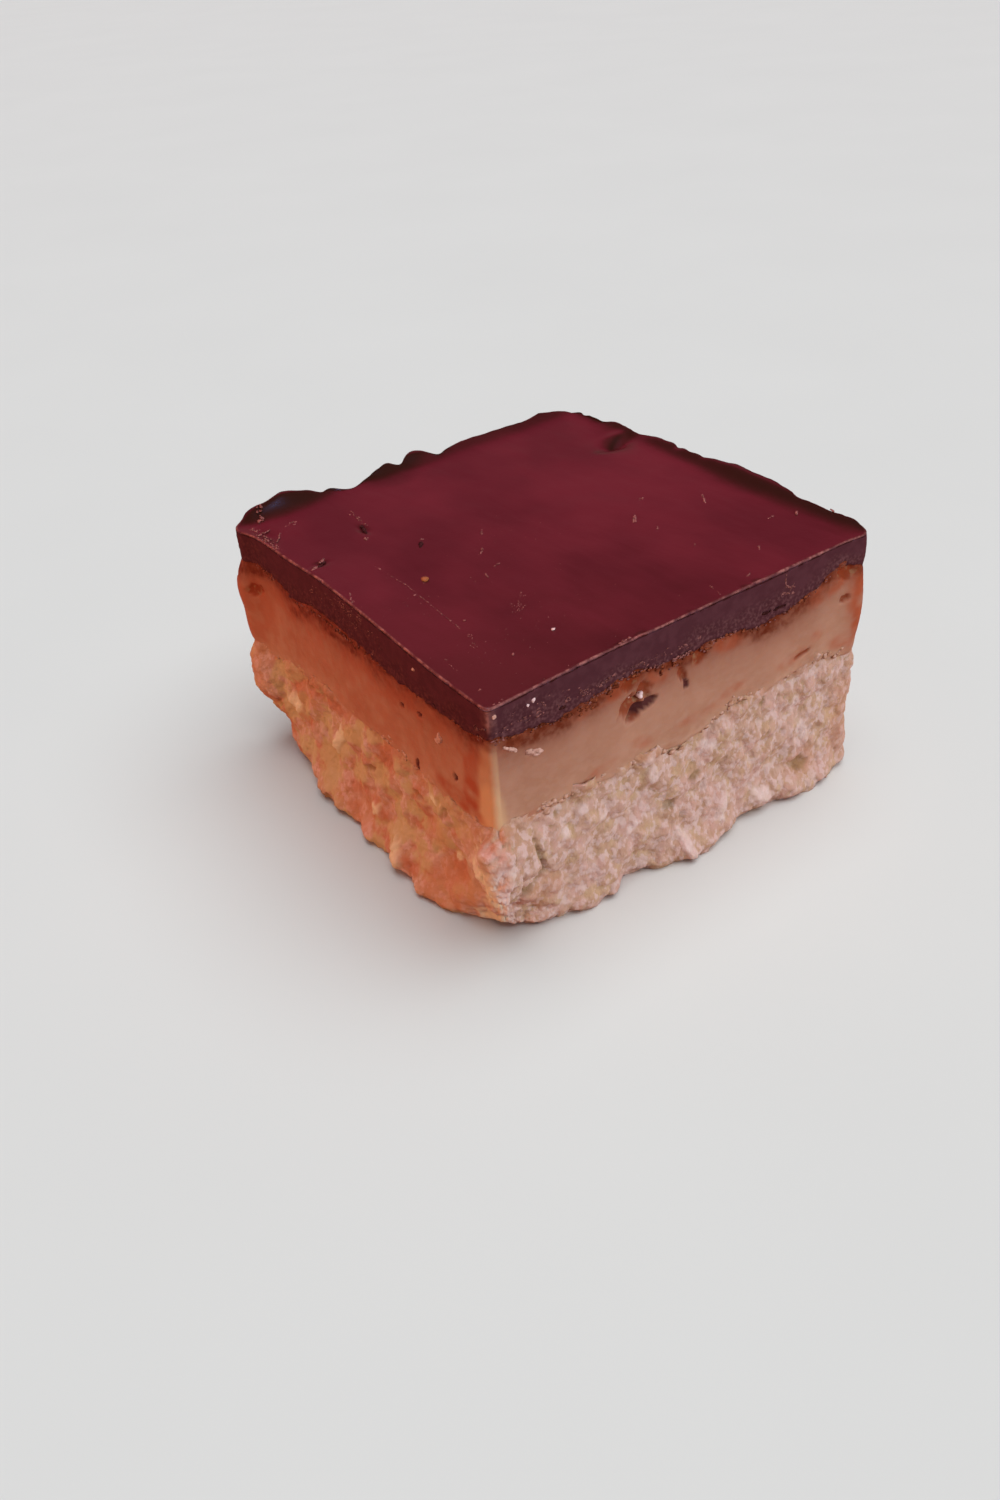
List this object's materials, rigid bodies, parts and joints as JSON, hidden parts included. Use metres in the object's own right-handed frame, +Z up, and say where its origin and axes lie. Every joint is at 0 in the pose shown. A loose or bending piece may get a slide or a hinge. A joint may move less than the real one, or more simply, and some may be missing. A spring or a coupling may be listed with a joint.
{
  "type": "millionaires shortbread square",
  "caption": "Square of layered shortbread: crumbly biscuit base, soft caramel layer and a thin glossy chocolate top, cut crisp on two sides.",
  "frame": {"origin": "centre of the underside of the bounding box, on the surface that the square stands on", "axes": "+Z up; the crisp cut faces look along -X and -Y, the sides that set against the tin look along +X and +Y"},
  "size_m": [0.065, 0.0654, 0.038],
  "materials": {
    "shortbread": "dry crumbly biscuit, matte and granular",
    "caramel": "smooth soft caramel with a slight sheen",
    "chocolate": "set chocolate, glossy on top and satin where cut"
  },
  "bodies": {
    "root": {"shortbread_base": "shortbread", "caramel_layer": "caramel", "chocolate_top": "chocolate"}
  },
  "joints": []
}
